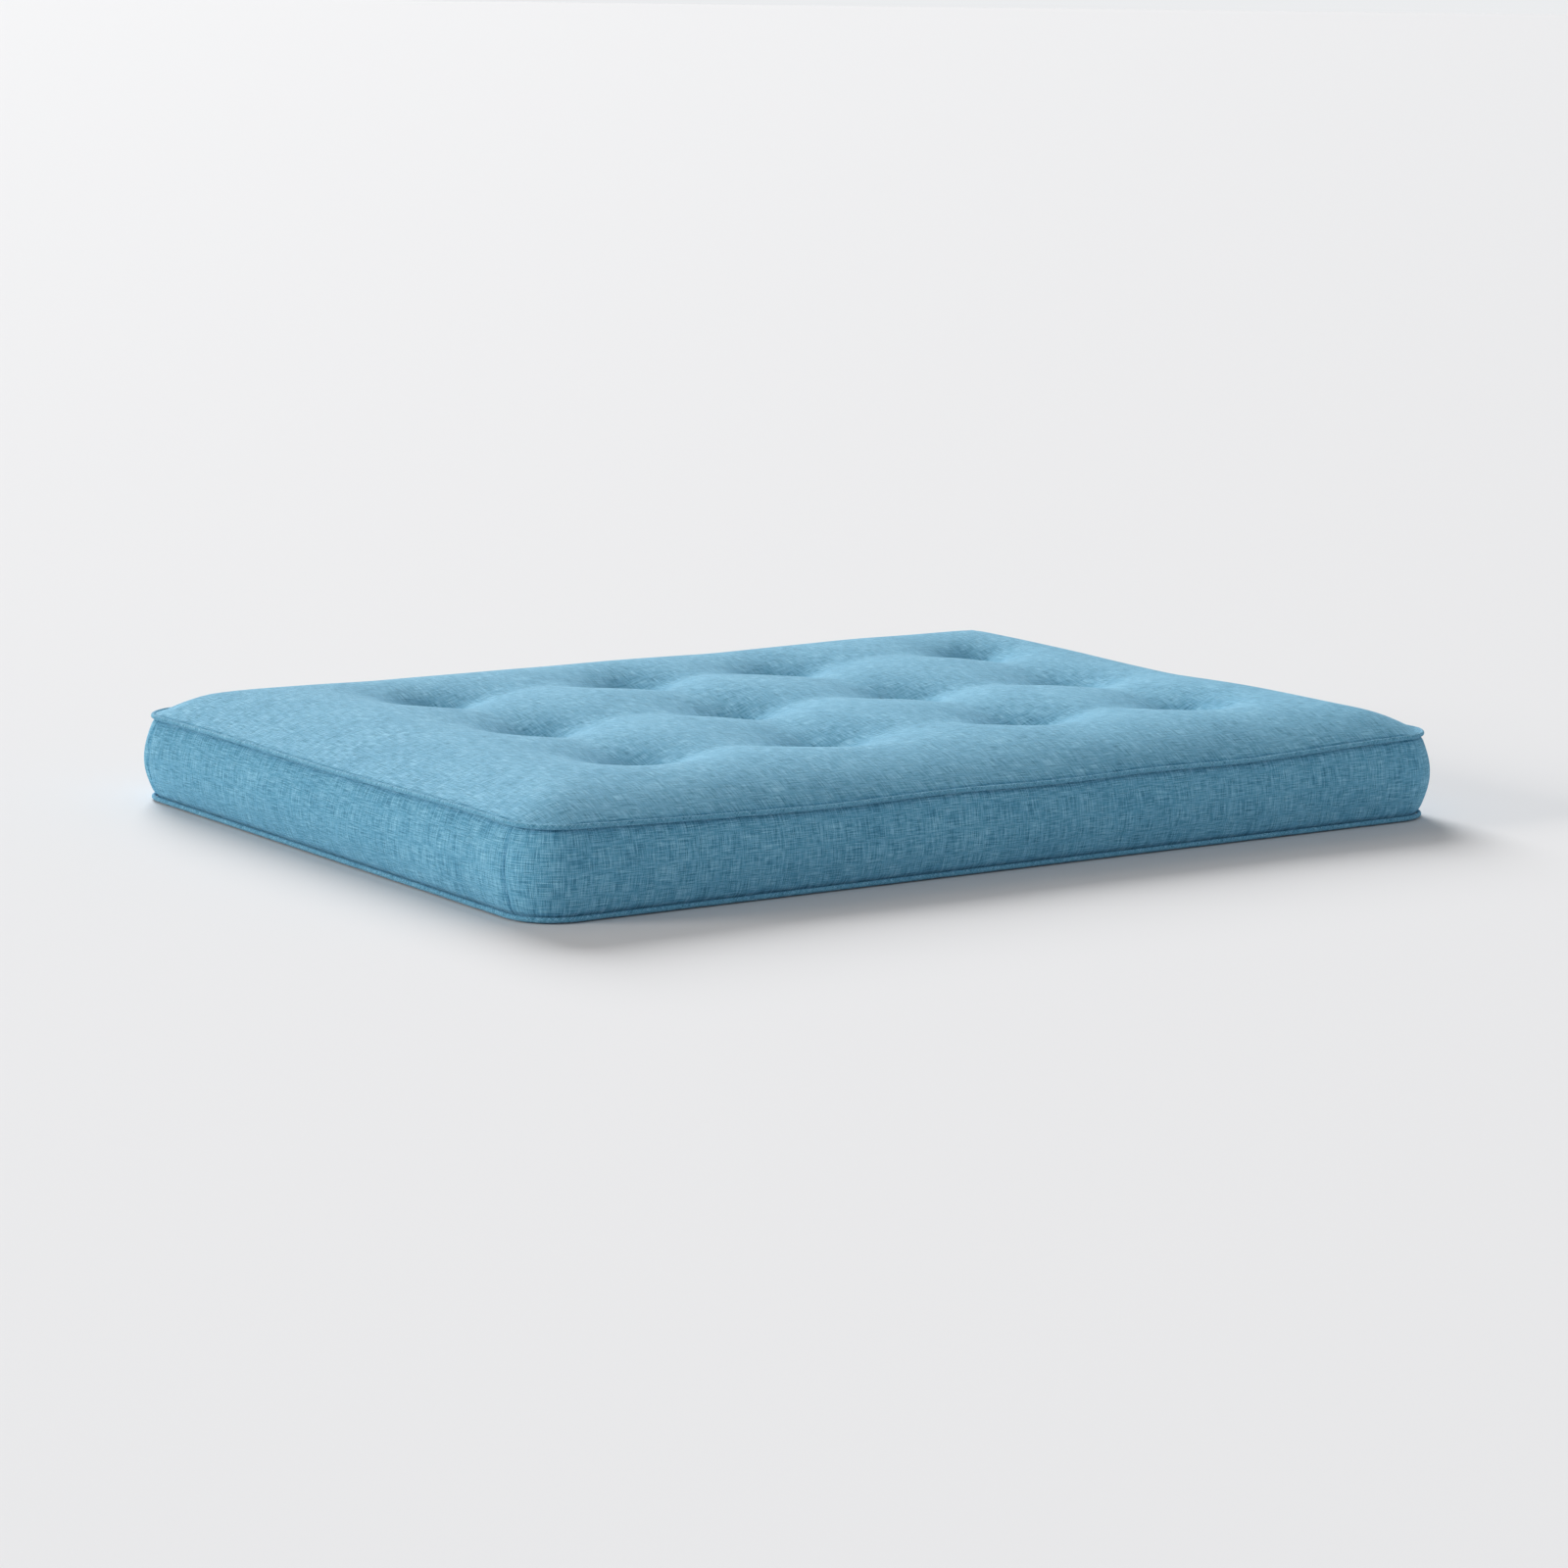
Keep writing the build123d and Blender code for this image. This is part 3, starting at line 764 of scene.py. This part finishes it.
def heathered_weave(name, dark, middle, light, pitch=0.0014):
    """Plain-woven slubby cloth: warp and weft threads that change shade along their length."""
    look = Look(name, Roughness=0.88, Sheen_Weight=0.42, Sheen_Roughness=0.35)
    look.shader.inputs["Sheen Tint"].default_value = (0.42, 0.8, 1.0, 1)
    place = look.node("ShaderNodeUVMap", {}, uv_map="weave").outputs["UV"]
    split = look.node("ShaderNodeSeparateXYZ", {"Vector": place})
    u, v = split.outputs["X"], split.outputs["Y"]

    def threads(run, across):
        """Shade of the threads along U and of those along V, for a length of one shade and a width."""
        along_u = look.noise(place, (1 / run, 1 / across, 1), detail=1.5)
        along_v = look.noise(place, (1 / across, 1 / run, 1), detail=1.5)
        return along_u, along_v

    weft, warp = threads(0.02, 0.00105)
    weft_slub, warp_slub = threads(0.04, 0.0017)
    weft = look.math("ADD", look.math("MULTIPLY", weft, 0.5), look.math("MULTIPLY", weft_slub, 0.5))
    warp = look.math("ADD", look.math("MULTIPLY", warp, 0.5), look.math("MULTIPLY", warp_slub, 0.5))

    wave_u = look.math("SINE", look.math("MULTIPLY", u, math.pi / pitch))
    wave_v = look.math("SINE", look.math("MULTIPLY", v, math.pi / pitch))
    over = look.math("MULTIPLY", wave_u, wave_v)
    weft_on_top = look.span(over, -0.25, 0.25)
    shade = look.node("ShaderNodeMix", {0: weft_on_top, 2: warp, 3: weft}, data_type="FLOAT").outputs[0]
    blended = look.math("MULTIPLY", look.math("ADD", weft, warp), 0.2)
    both = look.math("ADD", look.math("MULTIPLY", shade, 0.6), blended)
    patches = look.noise(place, (9, 7, 1), detail=2)
    both = look.math("ADD", both, look.math("MULTIPLY", look.math("SUBTRACT", patches, 0.5), 0.06))
    spread = 0.106
    level = look.span(both, 0.5 - spread, 0.5 + spread)
    hollow = look.math("MULTIPLY", look.math("ABSOLUTE", wave_u), look.math("ABSOLUTE", wave_v))
    colour = look.ramp(level, [(0.0, dark), (0.5, middle), (1.0, light)])
    shadow = look.span(hollow, 0.0, 0.35, 0.85, 1.05)
    shaded = look.node("ShaderNodeVectorMath", {0: colour, 3: shadow}, operation="SCALE").outputs["Vector"]
    fuzz = look.noise(place, (900, 900, 1), detail=2)
    height = look.math("ADD", look.math("MULTIPLY", hollow, 0.6), look.math("MULTIPLY", level, 0.5))
    height = look.math("ADD", height, look.math("MULTIPLY", fuzz, 0.25))
    roughness = look.span(level, 0.0, 1.0, 0.95, 0.8)
    return look.finish(shaded, height, 0.0005, 0.9, roughness)


def cotton_batting():
    """Matted off-white cotton, with long fibres, soft lumps and a few dark seed specks."""
    look = Look("cotton_batting", Roughness=0.95, Sheen_Weight=0.3, Sheen_Roughness=0.6)
    place = look.node("ShaderNodeTexCoord", {}).outputs["Object"]
    warped = look.noise(place, (25, 25, 25), detail=3)
    swirl = look.node("ShaderNodeVectorMath", {0: place, 1: warped}, operation="ADD").outputs["Vector"]
    fibres = look.noise(swirl, (600, 60, 300), detail=4, roughness=0.65)
    lumps = look.noise(place, (18, 18, 18), detail=4)
    specks = look.span(look.noise(place, (260, 260, 260)), 0.71, 0.75)
    tone = look.math("ADD", look.math("MULTIPLY", fibres, 0.6), look.math("MULTIPLY", lumps, 0.4))
    tone = look.math("SUBTRACT", look.span(tone, 0.35, 0.62), look.math("MULTIPLY", specks, 0.6))
    colour = look.ramp(tone, [(0.0, (0.5, 0.44, 0.35)), (0.4, (0.78, 0.74, 0.66)), (1.0, (0.87, 0.85, 0.8))])
    height = look.math("ADD", look.math("MULTIPLY", lumps, 1.0), look.math("MULTIPLY", fibres, 0.3))
    return look.finish(colour, height, 0.003, 0.8)


def foam_look():
    """Cut polyurethane foam: pale, with fine open cells and a faint yellowing."""
    look = Look("foam", Roughness=0.92)
    place = look.node("ShaderNodeTexCoord", {}).outputs["Object"]
    cells = look.node("ShaderNodeTexVoronoi", {"Vector": place, "Scale": 700.0}).outputs["Distance"]
    large = look.node("ShaderNodeTexVoronoi", {"Vector": place, "Scale": 240.0}).outputs["Distance"]
    ageing = look.noise(place, (6, 6, 20), detail=3)
    depth = look.math("ADD", look.math("MULTIPLY", cells, 0.6), look.math("MULTIPLY", large, 0.4))
    tone = look.math("ADD", look.math("MULTIPLY", depth, 0.7), look.math("MULTIPLY", ageing, 0.5))
    stops = [(0.15, (0.62, 0.52, 0.33)), (0.45, (0.8, 0.73, 0.55)), (0.75, (0.86, 0.81, 0.67))]
    colour = look.ramp(tone, stops)
    return look.finish(colour, depth, 0.0012, 0.7)


def fibre_look(name, shadow, tone, highlight, scale):
    """Spun fibre, as in twine and filler cord: fine hairs over a slightly uneven colour."""
    look = Look(name, Roughness=0.85, Sheen_Weight=0.25, Sheen_Roughness=0.4)
    place = look.node("ShaderNodeTexCoord", {}).outputs["Object"]
    hairs = look.noise(place, (scale, scale, scale), detail=5, roughness=0.7)
    blotches = look.noise(place, (60, 60, 60), detail=2)
    mixed = look.math("ADD", look.math("MULTIPLY", hairs, 0.7), look.math("MULTIPLY", blotches, 0.3))
    colour = look.ramp(mixed, [(0.3, shadow), (0.5, tone), (0.7, highlight)])
    return look.finish(colour, hairs, 0.0003, 0.8)


def label_cloth():
    """A white woven label, slightly creased."""
    look = Look("tag_cloth", Roughness=0.8, Sheen_Weight=0.15)
    place = look.node("ShaderNodeTexCoord", {}).outputs["Object"]
    split = look.node("ShaderNodeSeparateXYZ", {"Vector": place})
    rows = look.math("SINE", look.math("MULTIPLY", split.outputs["Z"], math.tau / 0.0006))
    columns = look.math("SINE", look.math("MULTIPLY", split.outputs["X"], math.tau / 0.0006))
    weave = look.math("MULTIPLY", rows, columns)
    creases = look.noise(place, (30, 30, 90), detail=4)
    tone = look.math("ADD", look.math("MULTIPLY", weave, 0.12), creases)
    colour = look.ramp(tone, [(0.3, (0.66, 0.65, 0.61)), (0.5, (0.8, 0.8, 0.77)), (0.7, (0.86, 0.86, 0.84))])
    return look.finish(colour, tone, 0.0004, 0.6)


# ---------------------------------------------------------------- light, floor and camera


def add_sun(name, direction, strength, softness, colour=(1, 1, 1)):
    """A sun that shines from a direction, given as a vector towards it."""
    light = bpy.data.lights.new(name, "SUN")
    light.energy, light.angle, light.color = strength, math.radians(softness), colour
    lamp = bpy.data.objects.new(name, light)
    lamp.rotation_mode = "QUATERNION"
    lamp.rotation_quaternion = Vector(direction).to_track_quat("Z", "Y")
    bpy.context.scene.collection.objects.link(lamp)


def build_stage():
    """A plain pale floor, and studio light: a bright horizon, a soft sky and two large lamps."""
    half = 400
    floor = make_mesh(
        "floor", [(-half, -half, 0), (half, -half, 0), (half, half, 0), (-half, half, 0)], [(0, 1, 2, 3)]
    )
    material = bpy.data.materials.new("floor")
    material.use_nodes = True
    shader = material.node_tree.nodes["Principled BSDF"]
    shader.inputs["Base Color"].default_value = (0.755, 0.76, 0.775, 1)
    shader.inputs["Roughness"].default_value = 0.9
    shader.inputs["Specular IOR Level"].default_value = 0.1
    floor.data.materials.append(material)
    floor.location.z = -0.0005
    world = bpy.data.worlds.new("studio")
    bpy.context.scene.world = world
    world.use_nodes = True
    background = world.node_tree.nodes["Background"]
    nodes, links = world.node_tree.nodes, world.node_tree.links
    direction = nodes.new("ShaderNodeTexCoord")
    towards = nodes.new("ShaderNodeVectorMath")
    towards.operation = "DOT_PRODUCT"
    towards.inputs[1].default_value = Vector((-0.25, 0.9, 0.35)).normalized()
    shade = nodes.new("ShaderNodeMapRange")
    shade.interpolation_type = "SMOOTHSTEP"
    shade.inputs["From Min"].default_value = -0.45
    shade.inputs["From Max"].default_value = 0.6
    shade.inputs["To Min"].default_value = 0.37
    shade.inputs["To Max"].default_value = 0.36
    background.inputs["Color"].default_value = (0.97, 0.985, 1.0, 1)
    links.new(direction.outputs["Generated"], towards.inputs[0])
    links.new(towards.outputs["Value"], shade.inputs["Value"])
    height = nodes.new("ShaderNodeSeparateXYZ")
    horizon = nodes.new("ShaderNodeMapRange")
    horizon.interpolation_type = "SMOOTHSTEP"
    horizon.inputs["From Min"].default_value = 0.08
    horizon.inputs["From Max"].default_value = 0.3
    horizon.inputs["To Min"].default_value = 0.86
    links.new(direction.outputs["Generated"], height.inputs[0])
    links.new(height.outputs["Z"], horizon.inputs["Value"])
    links.new(shade.outputs["Result"], horizon.inputs["To Max"])
    links.new(horizon.outputs["Result"], background.inputs["Strength"])
    add_sun("key", (-0.9, 0.34, 0.3), 1.5, 20, (1.0, 0.92, 0.84))
    add_sun("back", (0.25, 0.8, 0.45), 3.5, 30)


def build_camera():
    """The camera: place and turn from the outline of the welts, in the mattress's frame."""
    yaw, pitch, roll = math.radians(-34.708), math.radians(9.898), math.radians(-0.808)
    forward = Vector(
        (-math.sin(yaw) * math.cos(pitch), math.cos(yaw) * math.cos(pitch), -math.sin(pitch))
    )
    right = Vector((math.cos(yaw), math.sin(yaw), 0))
    down = forward.cross(right)
    rolled_right = math.cos(roll) * right + math.sin(roll) * down
    rolled_down = -math.sin(roll) * right + math.cos(roll) * down
    camera = bpy.data.objects.new("camera", bpy.data.cameras.new("camera"))
    camera.data.lens = 104.26
    camera.data.sensor_width = 36
    camera.data.clip_end = 1500
    turn = Matrix((rolled_right, -rolled_down, -forward)).transposed()
    camera.matrix_world = Matrix.Translation((-4.5245, -6.5229, 1.4263)) @ turn.to_4x4()
    bpy.context.scene.collection.objects.link(camera)
    bpy.context.scene.camera = camera


def bend(piece):
    """Bakes a piece's transform into its mesh."""
    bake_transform(piece)


def main():
    bpy.context.scene.view_settings.view_transform = "Standard"
    build_camera()
    build_stage()
    cover = heathered_weave("cover_cloth", (0.036, 0.175, 0.305), (0.12, 0.405, 0.615), (0.32, 0.66, 0.84))
    piping = heathered_weave("welt_cloth", (0.035, 0.17, 0.295), (0.118, 0.39, 0.59), (0.31, 0.64, 0.82))
    batting, foam = cotton_batting(), foam_look()
    filler = fibre_look("filler_cord", (0.5, 0.47, 0.41), (0.72, 0.7, 0.64), (0.86, 0.84, 0.8), 1500)
    twine = fibre_look("twine", (0.03, 0.1, 0.17), (0.07, 0.2, 0.31), (0.14, 0.33, 0.45), 2500)
    label = label_cloth()

    top, top_points = build_top_panel(cover)
    bottom = build_bottom_panel(cover)
    strips = build_boxing(cover)
    filling = build_filling(top_points, batting, foam)
    welts = {
        "top_welt": build_welt("top_welt", TOP_SEAM_Z, True, piping),
        "bottom_welt": build_welt("bottom_welt", UNDER_SEAM_Z, False, piping),
    }
    cords = {
        "top_welt_cord": build_welt_cord("top_welt_filler", TOP_SEAM_Z, True, filler),
        "bottom_welt_cord": build_welt_cord("bottom_welt_filler", UNDER_SEAM_Z, False, filler),
    }

    across = {"top_panel": top, "bottom_panel": bottom, **filling, **welts, **cords}
    across.update({name: strips[name] for name in ("boxing_left", "boxing_right")})
    for stem, piece in across.items():
        bend(piece)
        nodes = [f"{stem}_{half}" for half in ("seat", "fold", "back")]
        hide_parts(*[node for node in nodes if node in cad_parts])
    for name, body in (("boxing_front", "seat_half"), ("boxing_back", "back_half")):
        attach(strips[name], body)
        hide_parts(name)
    for half, body in (("seat", "seat_half"), ("fold", "fold_line"), ("back", "back_half")):
        ties = build_ties(half, twine)
        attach(ties, body)
        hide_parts(f"tufting_ties_{half}")
    tag = build_law_tag(label)
    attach(tag, "back_half")
    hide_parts("law_tag")


main()
